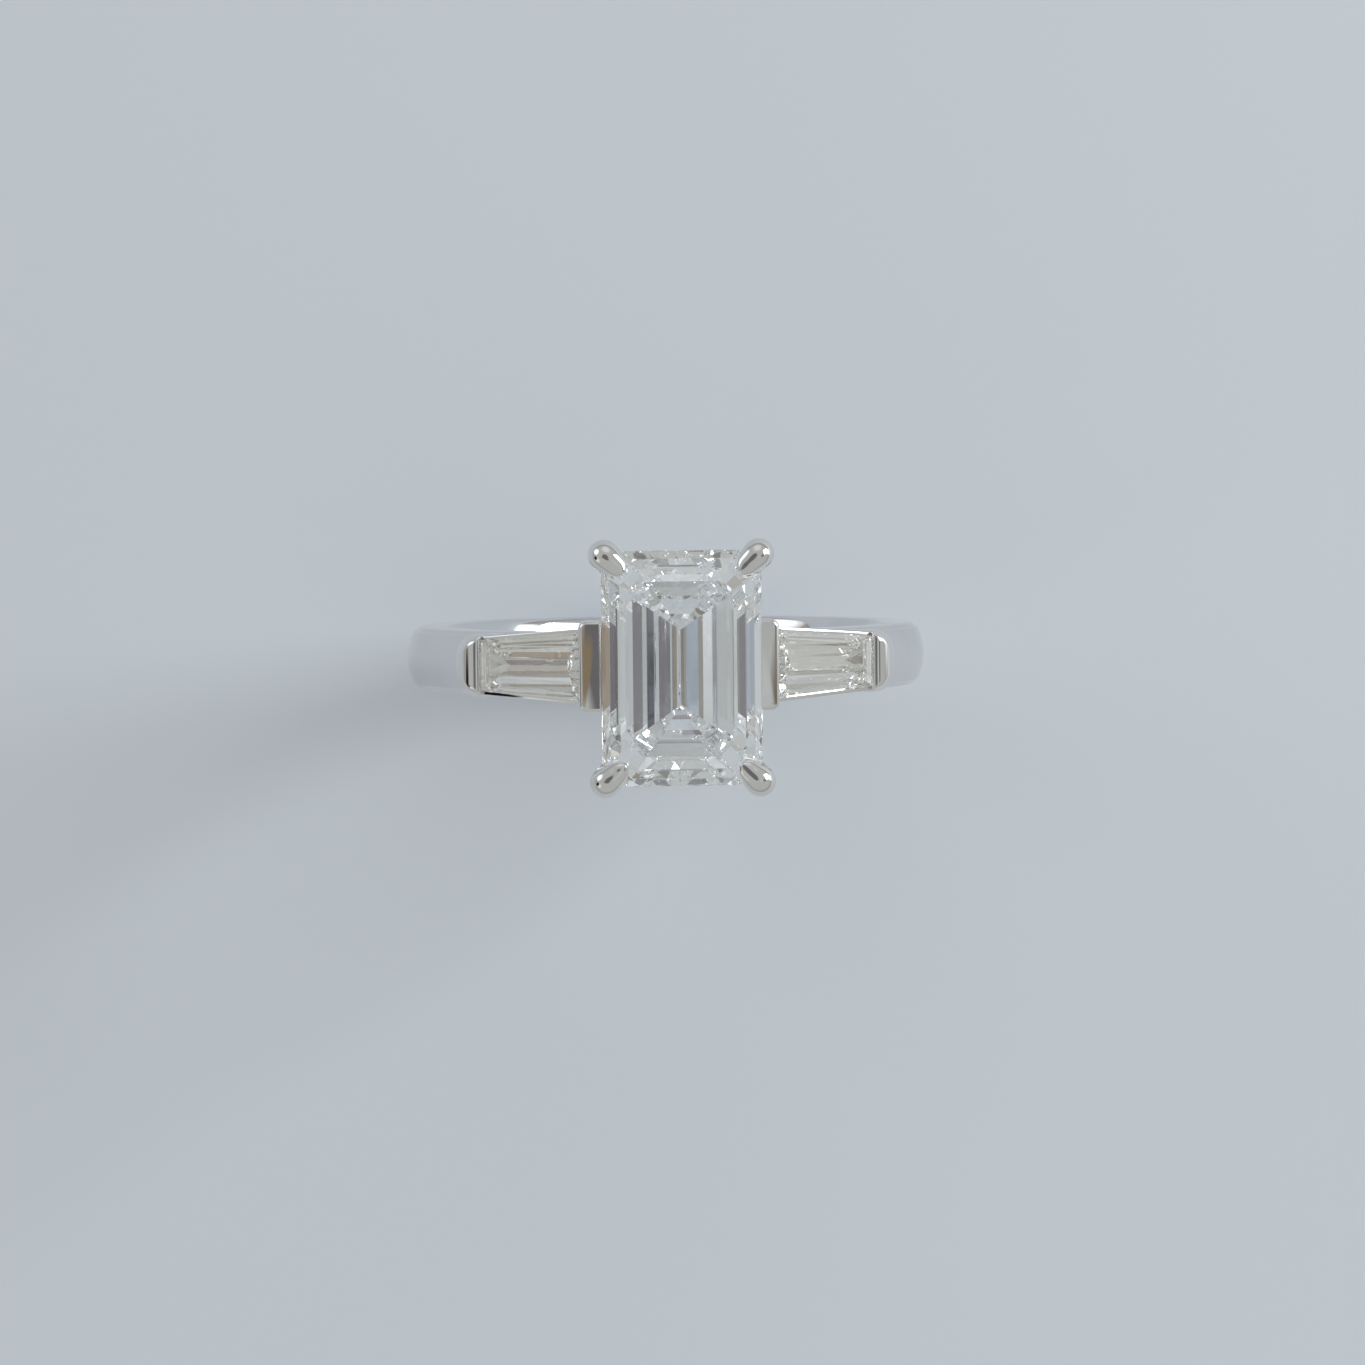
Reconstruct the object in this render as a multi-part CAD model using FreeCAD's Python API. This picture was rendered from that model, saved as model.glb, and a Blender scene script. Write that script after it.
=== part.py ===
import FreeCAD, Part
import math
import os

# Engagement ring: a step-cut centre diamond in four claws on a basket of two gallery
# rails, and a tapered baguette diamond between two bars on each shoulder.
# Millimetres. The origin is the centre of the finger hole, +Y runs along the finger,
# +Z goes up through the head, and X goes across the band.

Vector = FreeCAD.Vector

# Band
FINGER_DIAMETER = 16.5
BAND_THICKNESS = 1.8  # at the middle of its width
BAND_WIDTH = 2.4
BAND_DOME = 0.36  # how far the outside bulges between its edges
BAND_INNER_ROUND = 0.15  # rounding of the two edges that meet the finger
BAND_OUTER_ROUND = 0.25  # rounding where the dome meets the sides
SEAT_DEPTH = 0.45  # of the flat filed on top of the band for the head

# Centre diamond. A step is (inset, height, leg of the cut corner after the step).
CENTRE_WIDTH = 5.95  # across the finger
CENTRE_LENGTH = 8.72  # along the finger
CENTRE_CORNER = 0.85  # leg of the cut corner at the girdle
CENTRE_GIRDLE = 0.18
CENTRE_CROWN = ((0.30, 0.30, 0.74), (0.36, 0.27, 0.62), (0.47, 0.22, 0.48))
CENTRE_PAVILION = ((0.70, 1.05, 0.66), (1.00, 1.05, 0.40))
CENTRE_KEEL_DROP = 0.85  # height of the last step, down to the keel
KEEL_CLEARANCE = 0.66  # air between the keel and the band's flat

# Basket of the head
LOWER_RAIL_WIDTH = 4.0
LOWER_RAIL_LENGTH = 5.0
LOWER_RAIL_CORNER = 0.5
LOWER_RAIL_WALL = 0.4
LOWER_RAIL_HEIGHT = 0.5
UPPER_RAIL_DROP = 1.45  # from the girdle down to the rail's top
UPPER_RAIL_WALL = 0.42
UPPER_RAIL_HEIGHT = 0.55
UPPER_RAIL_CLEARANCE = 0.04  # between the rail and the diamond's pavilion
CLAW_FOOT_RADIUS = 0.40
CLAW_NECK_RADIUS = 0.46
CLAW_KNUCKLE_RADIUS = 0.53
CLAW_STAND_OFF = 0.42  # from the stone's corner out to the claw's axis
CLAW_KNUCKLE_RISE = 0.12  # of the knuckle's centre above the girdle
CLAW_TIP_RADIUS = 0.13
CLAW_TIP_REACH = 0.92  # from the knuckle in over the crown
CLAW_TIP_RISE = 0.03  # of the tip's centre above the crown

# Tapered baguettes. A step is (side inset, height, wide end inset, narrow end inset).
BAGUETTE_LENGTH = 4.3
BAGUETTE_WIDE_END = 2.58
BAGUETTE_NARROW_END = 1.94
BAGUETTE_GIRDLE = 0.10
BAGUETTE_CROWN = ((0.33, 0.24, 0.24, 0.56),)
BAGUETTE_PAVILION = ((0.30, 0.42, 0.28, 0.44),)
BAGUETTE_KEEL_DROP = 0.48  # of the last step, at the middle of the length
BAGUETTE_KEEL_WIDE_INSET = 0.75
BAGUETTE_KEEL_NARROW_INSET = 1.20
BAGUETTE_LIFT = 1.25  # from the band's surface up to the girdle, at mid length
BAGUETTE_BITE = 0.12  # how far each end sits inside its bar

# Bars that hold the baguettes
INNER_BAR_TUCK = 0.10  # how far it reaches in under the centre diamond's side
INNER_BAR_THICKNESS = 0.875
INNER_BAR_WIDTH = 3.4
INNER_BAR_RISE = 0.45  # above the baguette's girdle
INNER_BAR_SHOULDER = 1.0  # full-width height, before the sides taper to the band
INNER_BAR_CORNER = 0.25
OUTER_BAR_THICKNESS = 1.34
OUTER_BAR_FOOT_TAPER = 0.35
OUTER_BAR_RISE = 0.38
OUTER_BAR_CROWN_ROUND = 0.98  # of the outer top edge
OUTER_BAR_INNER_ROUND = 0.28  # of the top edge over the baguette
OUTER_BAR_CORNER = 0.75
BAR_EDGE_ROUND = 0.12
BAR_FOOT_INSET = 0.03  # from the band's sides

# Side rails under the baguettes' long edges
SIDE_RAIL_LIP = 0.12  # outside the girdle
SIDE_RAIL_SHELF = 0.22  # inside the girdle
SIDE_RAIL_DEPTH = 0.62  # below the middle of the girdle
SIDE_RAIL_TOP = 0.07  # above the middle of the girdle

# Derived places
BAND_INNER_RADIUS = FINGER_DIAMETER / 2
BAND_OUTER_RADIUS = BAND_INNER_RADIUS + BAND_THICKNESS
BAND_EDGE_RADIUS = BAND_OUTER_RADIUS - BAND_DOME
SEAT_Z = BAND_OUTER_RADIUS - SEAT_DEPTH
PAVILION_DEPTH = sum(step[1] for step in CENTRE_PAVILION) + CENTRE_KEEL_DROP
GIRDLE_LOW_Z = SEAT_Z + KEEL_CLEARANCE + PAVILION_DEPTH
GIRDLE_TOP_Z = GIRDLE_LOW_Z + CENTRE_GIRDLE
UPPER_RAIL_Z = GIRDLE_LOW_Z - UPPER_RAIL_DROP - UPPER_RAIL_HEIGHT
LEG_PER_INSET = 2 - math.sqrt(2)  # what an even inset takes off a cut corner's leg
INNER_BAR_X = CENTRE_WIDTH / 2 - INNER_BAR_TUCK
INNER_BAR_FACE_X = INNER_BAR_X + INNER_BAR_THICKNESS
HALF_BAGUETTE = BAGUETTE_LENGTH / 2
BAGUETTE_RADIUS = BAND_OUTER_RADIUS + BAGUETTE_LIFT
BAR_FOOT_HALF = BAND_WIDTH / 2 - BAR_FOOT_INSET


def faceted_solid(levels):
    """Closed solid through outlines of equal point counts, listed from low to high."""
    faces = []
    for low, high in zip(levels, levels[1:]):
        for i in range(len(low)):
            j = (i + 1) % len(low)
            add_face(faces, [low[i], low[j], high[j], high[i]])
    add_face(faces, levels[0])
    add_face(faces, levels[-1])
    solid = Part.Solid(Part.Shell(faces))
    if solid.Volume < 0:
        solid.reverse()
    return solid


def add_face(faces, points):
    """Adds the flat face through points, unless it has closed up to a line."""
    corners = []
    for point in points:
        if all(point.distanceToPoint(corner) > 1e-6 for corner in corners):
            corners.append(point)
    if len(corners) > 2:
        faces.append(Part.Face(Part.makePolygon(corners + corners[:1])))


def octagon(half_x, half_y, leg, z):
    """Corners of a cut-cornered rectangle at height z."""
    return [
        Vector(half_x, leg - half_y, z),
        Vector(half_x, half_y - leg, z),
        Vector(half_x - leg, half_y, z),
        Vector(leg - half_x, half_y, z),
        Vector(-half_x, half_y - leg, z),
        Vector(-half_x, leg - half_y, z),
        Vector(leg - half_x, -half_y, z),
        Vector(half_x - leg, -half_y, z),
    ]


def octagon_prism(half_x, half_y, leg, z, height):
    outline = octagon(half_x, half_y, leg, z)
    face = Part.Face(Part.makePolygon(outline + outline[:1]))
    return face.extrude(Vector(0, 0, height))


def stepped(steps):
    """(inset, height, leg) totals after each step, from the girdle's edge on."""
    totals = [(0.0, 0.0, CENTRE_CORNER)]
    for inset, height, leg in steps:
        last = totals[-1]
        totals.append((last[0] + inset, last[1] + height, leg))
    return totals


def centre_outline(total_inset, leg, z):
    half_x = CENTRE_WIDTH / 2 - total_inset
    half_y = CENTRE_LENGTH / 2 - total_inset
    return octagon(half_x, half_y, leg, z)


def make_centre_diamond():
    keel_half = (CENTRE_LENGTH - CENTRE_WIDTH) / 2
    levels = [octagon(0, keel_half, 0, GIRDLE_LOW_Z - PAVILION_DEPTH)]
    for inset, drop, leg in reversed(stepped(CENTRE_PAVILION)):
        levels.append(centre_outline(inset, leg, GIRDLE_LOW_Z - drop))
    for inset, rise, leg in stepped(CENTRE_CROWN):
        levels.append(centre_outline(inset, leg, GIRDLE_TOP_Z + rise))
    return faceted_solid(levels)


def between(steps, value, key):
    """(inset, height, leg) on a stepped side where item key of the totals is value."""
    totals = stepped(steps)
    for low, high in zip(totals, totals[1:]):
        if value <= high[key]:
            break
    share = (value - low[key]) / (high[key] - low[key])
    return [a + share * (b - a) for a, b in zip(low, high)]


def make_shank():
    half = BAND_WIDTH / 2
    inner_round = BAND_INNER_ROUND
    diagonal = inner_round * (1 - math.sqrt(0.5))

    def corner(side):
        start = Vector(BAND_INNER_RADIUS + inner_round, side * half, 0)
        middle = Vector(BAND_INNER_RADIUS + diagonal, side * (half - diagonal), 0)
        end = Vector(BAND_INNER_RADIUS, side * (half - inner_round), 0)
        return start, middle, end

    low = corner(-1)
    high = corner(1)
    outer_low = Vector(BAND_EDGE_RADIUS, -half, 0)
    outer_high = Vector(BAND_EDGE_RADIUS, half, 0)
    edges = [
        Part.Arc(*low).toShape(),
        Part.LineSegment(low[2], high[2]).toShape(),
        Part.Arc(*reversed(high)).toShape(),
        Part.LineSegment(high[0], outer_high).toShape(),
        Part.Arc(outer_high, Vector(BAND_OUTER_RADIUS, 0, 0), outer_low).toShape(),
        Part.LineSegment(outer_low, low[0]).toShape(),
    ]
    section = Part.Face(Part.Wire(edges))
    ring = section.revolve(Vector(0, 0, 0), Vector(0, 1, 0), 360)
    rims = [e for e in ring.Edges if is_circle(e, BAND_EDGE_RADIUS)]
    ring = ring.makeFillet(BAND_OUTER_ROUND, rims)
    above = Part.makeBox(
        2 * BAND_OUTER_RADIUS,
        2 * BAND_WIDTH,
        BAND_OUTER_RADIUS,
        Vector(-BAND_OUTER_RADIUS, -BAND_WIDTH, SEAT_Z),
    )
    return ring.cut(above)


def is_circle(edge, radius):
    curve = edge.Curve
    return isinstance(curve, Part.Circle) and abs(curve.Radius - radius) < 1e-6


def lower_rail_block():
    """The lower rail with its opening still filled."""
    half_x = LOWER_RAIL_WIDTH / 2
    half_y = LOWER_RAIL_LENGTH / 2
    return octagon_prism(half_x, half_y, LOWER_RAIL_CORNER, SEAT_Z, LOWER_RAIL_HEIGHT)


def make_lower_rail():
    wall = LOWER_RAIL_WALL
    half_x = LOWER_RAIL_WIDTH / 2 - wall
    half_y = LOWER_RAIL_LENGTH / 2 - wall
    leg = LOWER_RAIL_CORNER - wall * LEG_PER_INSET
    opening = octagon_prism(half_x, half_y, leg, SEAT_Z, LOWER_RAIL_HEIGHT)
    return lower_rail_block().cut(opening)


def claw_foot():
    """Where a claw's axis crosses the lower rail's mid height, on its outer corner."""
    back = LOWER_RAIL_CORNER / 2
    x = LOWER_RAIL_WIDTH / 2 - back
    y = LOWER_RAIL_LENGTH / 2 - back
    return Vector(x, y, SEAT_Z + LOWER_RAIL_HEIGHT / 2)


def claw_knuckle():
    out = CLAW_STAND_OFF * math.sqrt(0.5) - CENTRE_CORNER / 2
    x = CENTRE_WIDTH / 2 + out
    y = CENTRE_LENGTH / 2 + out
    return Vector(x, y, GIRDLE_TOP_Z + CLAW_KNUCKLE_RISE)


def upper_rail_opening():
    """Half width, half length and corner leg that clear the pavilion at the rail's top."""
    inset, _, leg = between(CENTRE_PAVILION, UPPER_RAIL_DROP, 1)
    gap = UPPER_RAIL_CLEARANCE
    half_x = CENTRE_WIDTH / 2 - inset + gap
    half_y = CENTRE_LENGTH / 2 - inset + gap
    return half_x, half_y, leg + gap * LEG_PER_INSET


def upper_rail_block():
    """The upper rail with its opening still filled, its corners on the claws' axes."""
    half_x, half_y, _ = upper_rail_opening()
    half_x += UPPER_RAIL_WALL
    half_y += UPPER_RAIL_WALL
    foot = claw_foot()
    knuckle = claw_knuckle()
    middle = UPPER_RAIL_Z + UPPER_RAIL_HEIGHT / 2
    axis = foot + (knuckle - foot) * ((middle - foot.z) / (knuckle.z - foot.z))
    leg = half_x + half_y - axis.x - axis.y
    return octagon_prism(half_x, half_y, leg, UPPER_RAIL_Z, UPPER_RAIL_HEIGHT)


def make_upper_rail():
    opening = octagon_prism(*upper_rail_opening(), UPPER_RAIL_Z, UPPER_RAIL_HEIGHT)
    return upper_rail_block().cut(opening)


def make_claw(diamond):
    """The claw at +X, +Y: a leg, a knuckle and a talon tip, notched for what it holds."""
    foot = claw_foot()
    knuckle = claw_knuckle()
    along = (knuckle - foot).normalize()
    start = foot - along * LOWER_RAIL_HEIGHT
    leg = Part.makeCone(
        CLAW_FOOT_RADIUS,
        CLAW_NECK_RADIUS,
        knuckle.distanceToPoint(start),
        start,
        along,
    )
    ball = Part.makeSphere(CLAW_KNUCKLE_RADIUS, knuckle)

    inward = CLAW_TIP_REACH * math.sqrt(0.5)
    inset = CLAW_TIP_REACH - CLAW_STAND_OFF
    crown_rise = between(CENTRE_CROWN, inset, 0)[1]
    tip_z = GIRDLE_TOP_Z + crown_rise + CLAW_TIP_RISE
    tip = Vector(knuckle.x - inward, knuckle.y - inward, tip_z)
    reach = tip - knuckle
    talon = Part.makeCone(
        CLAW_NECK_RADIUS, CLAW_TIP_RADIUS, reach.Length, knuckle, reach
    )
    point = Part.makeSphere(CLAW_TIP_RADIUS * 1.02, tip)

    claw = leg.fuse([ball, talon, point])
    size = 4 * LOWER_RAIL_LENGTH
    below = Part.makeBox(size, size, size, Vector(-size / 2, -size / 2, SEAT_Z - size))
    return claw.cut([below, diamond, lower_rail_block(), upper_rail_block()])


def baguette_tilt():
    """Angle that lays the baguette square to the band's radius at its mid length."""
    inner_x = INNER_BAR_FACE_X - BAGUETTE_BITE
    reach = math.hypot(BAGUETTE_RADIUS, HALF_BAGUETTE)
    return math.asin(inner_x / reach) + math.atan2(HALF_BAGUETTE, BAGUETTE_RADIUS)


TILT = baguette_tilt()


def on_shoulder(shape):
    """Moves a shape from the baguette's own frame (length, finger, up) to the ring's."""
    centre = Vector(
        BAGUETTE_RADIUS * math.sin(TILT), 0, BAGUETTE_RADIUS * math.cos(TILT)
    )
    turn = FreeCAD.Rotation(Vector(0, 1, 0), math.degrees(TILT))
    moved = shape.copy()
    moved.transformShape(FreeCAD.Placement(centre, turn).toMatrix())
    return moved


def baguette_half_width(along):
    share = (along + HALF_BAGUETTE) / BAGUETTE_LENGTH
    ends = BAGUETTE_NARROW_END - BAGUETTE_WIDE_END
    return (BAGUETTE_WIDE_END + share * ends) / 2


def baguette_side_inset(inset):
    """What an inset square to the tapered side takes off the half width."""
    taper = (BAGUETTE_WIDE_END - BAGUETTE_NARROW_END) / 2
    return inset * math.hypot(taper, BAGUETTE_LENGTH) / BAGUETTE_LENGTH


def baguette_outline(side_inset, wide_inset, narrow_inset, up):
    start = wide_inset - HALF_BAGUETTE
    end = HALF_BAGUETTE - narrow_inset
    wide = baguette_half_width(start) - baguette_side_inset(side_inset)
    narrow = baguette_half_width(end) - baguette_side_inset(side_inset)
    return [
        Vector(start, -wide, up),
        Vector(end, -narrow, up),
        Vector(end, narrow, up),
        Vector(start, wide, up),
    ]


def baguette_steps(steps, direction):
    """Outlines from the girdle on, up for direction 1 and down for -1."""
    side_inset = 0.0
    wide_inset = 0.0
    narrow_inset = 0.0
    up = direction * BAGUETTE_GIRDLE / 2
    outlines = [baguette_outline(side_inset, wide_inset, narrow_inset, up)]
    for side_step, height, wide_step, narrow_step in steps:
        side_inset += side_step
        wide_inset += wide_step
        narrow_inset += narrow_step
        up += direction * height
        outlines.append(baguette_outline(side_inset, wide_inset, narrow_inset, up))
    return outlines, side_inset, up


def make_baguette():
    crown, _, _ = baguette_steps(BAGUETTE_CROWN, 1)
    pavilion, side_inset, up = baguette_steps(BAGUETTE_PAVILION, -1)
    middle = baguette_half_width(0) - baguette_side_inset(side_inset)

    def keel_point(along):
        half = baguette_half_width(along) - baguette_side_inset(side_inset)
        return Vector(along, 0, up - BAGUETTE_KEEL_DROP * half / middle)

    wide = keel_point(BAGUETTE_KEEL_WIDE_INSET - HALF_BAGUETTE)
    narrow = keel_point(HALF_BAGUETTE - BAGUETTE_KEEL_NARROW_INSET)
    keel = [wide, narrow, narrow, wide]
    return faceted_solid([keel, *reversed(pavilion), *crown])


def band_height(x):
    """Height of the band's crest at x."""
    return math.sqrt(BAND_OUTER_RADIUS**2 - x**2)


def make_inner_bar(shank, baguette):
    half = INNER_BAR_WIDTH / 2
    inner_end_z = BAGUETTE_RADIUS * math.cos(TILT) + HALF_BAGUETTE * math.sin(TILT)
    top = inner_end_z + INNER_BAR_RISE
    landing = band_height(INNER_BAR_X + INNER_BAR_THICKNESS / 2)
    face_drop = landing - band_height(INNER_BAR_FACE_X)
    foot = landing - face_drop - BAND_DOME - BAND_OUTER_ROUND

    plate = Part.makeBox(
        INNER_BAR_THICKNESS,
        INNER_BAR_WIDTH,
        top - foot,
        Vector(INNER_BAR_X, -half, foot),
    )
    upright = [e for e in plate.Edges if is_upright(e)]
    plate = plate.makeFillet(INNER_BAR_CORNER, upright)

    outline = [
        (half, top),
        (half, top - INNER_BAR_SHOULDER),
        (BAR_FOOT_HALF, landing),
        (BAR_FOOT_HALF, foot),
    ]
    right = [Vector(INNER_BAR_X, y, z) for y, z in outline]
    left = [Vector(INNER_BAR_X, -y, z) for y, z in reversed(outline)]
    front = Part.Face(Part.makePolygon(right + left + right[:1]))
    plate = plate.common(front.extrude(Vector(INNER_BAR_THICKNESS, 0, 0)))
    rim = [e for e in plate.Edges if e.BoundBox.ZMin > top - 1e-6]
    plate = plate.makeFillet(BAR_EDGE_ROUND, rim)
    return plate.cut([shank, baguette])


def is_upright(edge):
    box = edge.BoundBox
    return box.XLength < 1e-6 and box.YLength < 1e-6


def make_outer_bar(shank, baguette):
    inner = HALF_BAGUETTE - BAGUETTE_BITE
    outer = inner + OUTER_BAR_THICKNESS
    sagitta = outer**2 / (2 * BAND_OUTER_RADIUS)
    foot = -(BAGUETTE_LIFT + BAND_DOME + BAND_OUTER_ROUND + sagitta)
    rise = OUTER_BAR_RISE
    big = OUTER_BAR_CROWN_ROUND
    small = OUTER_BAR_INNER_ROUND

    def at(along, up):
        return Vector(along, -BAR_FOOT_HALF, up)

    def quarter(centre_along, centre_up, radius, first, last):
        points = []
        for angle in (first, (first + last) / 2, last):
            a = math.radians(angle)
            points.append(
                at(centre_along + radius * math.cos(a), centre_up + radius * math.sin(a))
            )
        return Part.Arc(*points)

    small_arc = quarter(inner + small, rise - small, small, 180, 90)
    big_arc = quarter(outer - big, rise - big, big, 90, 0)
    foot_inner = at(inner, foot)
    foot_outer = at(outer - OUTER_BAR_FOOT_TAPER, foot)
    edges = [
        Part.LineSegment(foot_inner, small_arc.StartPoint),
        small_arc,
        Part.LineSegment(small_arc.EndPoint, big_arc.StartPoint),
        big_arc,
        Part.LineSegment(big_arc.EndPoint, foot_outer),
        Part.LineSegment(foot_outer, foot_inner),
    ]
    profile = Part.Face(Part.Wire([edge.toShape() for edge in edges]))
    block = profile.extrude(Vector(0, 2 * BAR_FOOT_HALF, 0))

    plan = Part.makeBox(
        OUTER_BAR_THICKNESS,
        2 * BAR_FOOT_HALF,
        rise - foot,
        Vector(inner, -BAR_FOOT_HALF, foot),
    )
    corners = [
        e for e in plan.Edges if is_upright(e) and e.BoundBox.XMin > inner + small
    ]
    block = block.common(plan.makeFillet(OUTER_BAR_CORNER, corners))
    return on_shoulder(block).cut([shank, baguette])


def make_side_rail(side, neighbours):
    """The rail along the baguette's edge at side -1 (front) or 1 (back)."""
    start = -HALF_BAGUETTE
    end = HALF_BAGUETTE - BAGUETTE_BITE

    def section(along):
        half = baguette_half_width(along)
        inner = side * (half - SIDE_RAIL_SHELF)
        outer = side * (half + SIDE_RAIL_LIP)
        return [
            Vector(along, inner, -SIDE_RAIL_DEPTH),
            Vector(along, outer, -SIDE_RAIL_DEPTH),
            Vector(along, outer, SIDE_RAIL_TOP),
            Vector(along, inner, SIDE_RAIL_TOP),
        ]

    rail = on_shoulder(faceted_solid([section(start), section(end)]))
    return rail.cut(neighbours)


def mirrored(shape, normal):
    return shape.mirror(Vector(0, 0, 0), normal)


def make_head():
    """The centre diamond, the basket's two rails and its four claws."""
    diamond = make_centre_diamond()
    back_right = make_claw(diamond)
    back_left = mirrored(back_right, Vector(1, 0, 0))
    return {
        "centre_diamond": diamond,
        "lower_gallery_rail": make_lower_rail(),
        "upper_gallery_rail": make_upper_rail(),
        "claw_back_right": back_right,
        "claw_back_left": back_left,
        "claw_front_right": mirrored(back_right, Vector(0, 1, 0)),
        "claw_front_left": mirrored(back_left, Vector(0, 1, 0)),
    }


def make_shoulder(shank):
    """The right shoulder's baguette, its two bars and its two side rails."""
    baguette = on_shoulder(make_baguette())
    inner_bar = make_inner_bar(shank, baguette)
    outer_bar = make_outer_bar(shank, baguette)
    neighbours = [baguette, inner_bar, outer_bar]
    return {
        "baguette_diamond": baguette,
        "inner_bar": inner_bar,
        "outer_bar": outer_bar,
        "side_rail_front": make_side_rail(-1, neighbours),
        "side_rail_back": make_side_rail(1, neighbours),
    }


def make_ring():
    shank = make_shank()
    nodes = {"shank": shank}
    nodes.update(make_head())
    for name, shape in make_shoulder(shank).items():
        nodes[f"right_{name}"] = shape
        nodes[f"left_{name}"] = mirrored(shape, Vector(1, 0, 0))
    return nodes


os.makedirs("parts", exist_ok=True)
for node, shape in make_ring().items():
    solids = shape.Solids
    if len(solids) != 1 or not solids[0].isValid():
        raise ValueError(f"{node} is {len(solids)} solids, or isn't valid")
    solids[0].exportStep(f"parts/{node}.step")
    box = solids[0].optimalBoundingBox()
    print(
        f"{node}: {solids[0].Volume:.4f} mm3,"
        f" x {box.XMin:.2f} {box.XMax:.2f},"
        f" y {box.YMin:.2f} {box.YMax:.2f},"
        f" z {box.ZMin:.2f} {box.ZMax:.2f}"
    )
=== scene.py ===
"""Engagement ring: a step-cut centre diamond in four claws on a railed basket, and a
tapered baguette diamond between two bars on each shoulder of a plain domed band.

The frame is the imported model: the origin is the centre of the finger hole, +Y runs along
the finger and +Z up through the head. Sizes are in millimetres until a piece is finished.
"""

import logging
import math
from collections.abc import Sequence
from dataclasses import dataclass, field
from enum import Enum

import bmesh
import bpy
from mathutils import Matrix, Vector


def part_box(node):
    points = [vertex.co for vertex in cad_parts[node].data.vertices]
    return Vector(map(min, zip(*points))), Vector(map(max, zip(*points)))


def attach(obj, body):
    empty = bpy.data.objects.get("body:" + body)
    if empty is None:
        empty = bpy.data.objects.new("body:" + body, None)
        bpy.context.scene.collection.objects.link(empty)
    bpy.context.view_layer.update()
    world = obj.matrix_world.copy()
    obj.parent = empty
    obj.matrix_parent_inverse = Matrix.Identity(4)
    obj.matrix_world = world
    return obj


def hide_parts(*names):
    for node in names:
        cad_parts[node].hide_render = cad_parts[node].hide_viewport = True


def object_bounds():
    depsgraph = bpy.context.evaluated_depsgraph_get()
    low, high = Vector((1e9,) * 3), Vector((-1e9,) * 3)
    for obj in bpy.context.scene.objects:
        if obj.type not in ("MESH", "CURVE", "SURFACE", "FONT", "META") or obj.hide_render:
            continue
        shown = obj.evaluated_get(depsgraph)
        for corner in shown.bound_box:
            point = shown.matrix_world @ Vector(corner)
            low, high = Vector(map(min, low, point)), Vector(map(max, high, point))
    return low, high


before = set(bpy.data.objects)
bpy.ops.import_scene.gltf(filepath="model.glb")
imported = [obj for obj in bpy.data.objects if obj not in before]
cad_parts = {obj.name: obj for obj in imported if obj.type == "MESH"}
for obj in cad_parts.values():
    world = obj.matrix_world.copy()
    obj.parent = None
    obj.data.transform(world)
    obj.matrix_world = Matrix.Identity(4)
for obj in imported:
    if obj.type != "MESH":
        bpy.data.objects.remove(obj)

CAD_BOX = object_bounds()
BODY = "root"
MM = 0.001
MICROMETRE = 1e-6
STONE_SEAT_GAP = 0.008  # between a stone and the metal cut to hold it
SHARP_DEGREES = 32.0  # edges that turn more than this stay creased
MERGE_DISTANCE = 1e-5  # points of a skin nearer than this become one
CORNER_POINTS = 7  # on each rounded corner of a bar's plan
GIRDLE_SLOPE = 0.02  # a stone's face that leans less than this belongs to its girdle
UP = Vector((0.0, 0.0, 1.0))
log = logging.getLogger("engagement_ring")

Outline = list[Vector]
Socket = bpy.types.NodeSocket


class Slot(Enum):
    """Material slots that the record names."""

    PLATINUM = "platinum"
    CENTRE_STONE = "centre_stone"
    SIDE_STONES = "side_stones"


class Side(Enum):
    """Shoulders of the ring, by the sign of X."""

    RIGHT = 1
    LEFT = -1

    @property
    def prefix(self) -> str:
        """Start of the names of this shoulder's nodes."""
        return self.name.lower()


class End(Enum):
    """Ends of the finger hole, by the sign of Y."""

    FRONT = -1
    BACK = 1


# --------------------------------------------------------------------------- measuring


def node_box(node: str) -> tuple[Vector, Vector]:
    """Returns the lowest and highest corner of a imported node, in millimetres."""
    low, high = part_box(node)
    return low / MM, high / MM


# ------------------------------------------------------------------------ mesh building


def loft(outlines: Sequence[Outline], caps: bool = True) -> bmesh.types.BMesh:
    """Skins closed outlines of equal point counts.

    Args:
        outlines: From one end to the other, each anticlockwise seen from the far end.
        caps: Whether to close both ends with flat faces.

    Returns:
        The skin, with repeated points merged and normals facing out.
    """
    bm = bmesh.new()
    rows = [[bm.verts.new(point) for point in outline] for outline in outlines]
    for low, high in zip(rows, rows[1:]):
        count = len(low)
        for i in range(count):
            j = (i + 1) % count
            bm.faces.new((low[i], low[j], high[j], high[i]))
    if caps:
        bm.faces.new(reversed(rows[0]))
        bm.faces.new(rows[-1])
    bmesh.ops.remove_doubles(bm, verts=bm.verts, dist=MERGE_DISTANCE)
    bmesh.ops.recalc_face_normals(bm, faces=bm.faces)
    return bm


def to_object(name: str, bm: bmesh.types.BMesh) -> bpy.types.Object:
    """Moves a bmesh into a new linked object, still in millimetres.

    Args:
        name: Name of the object and of its mesh.
        bm: The bmesh, which is used up.

    Returns:
        The new object.
    """
    mesh = bpy.data.meshes.new(name)
    bm.to_mesh(mesh)
    bm.free()
    piece = bpy.data.objects.new(name, mesh)
    bpy.context.scene.collection.objects.link(piece)
    return piece


def apply_modifiers(piece: bpy.types.Object) -> None:
    """Bakes a piece's modifiers into its mesh.

    Args:
        piece: The piece, whose old mesh is removed.
    """
    graph = bpy.context.evaluated_depsgraph_get()
    made = bpy.data.meshes.new_from_object(piece.evaluated_get(graph))
    old = piece.data
    piece.modifiers.clear()
    piece.data = made
    made.name = piece.name
    bpy.data.meshes.remove(old)


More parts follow.
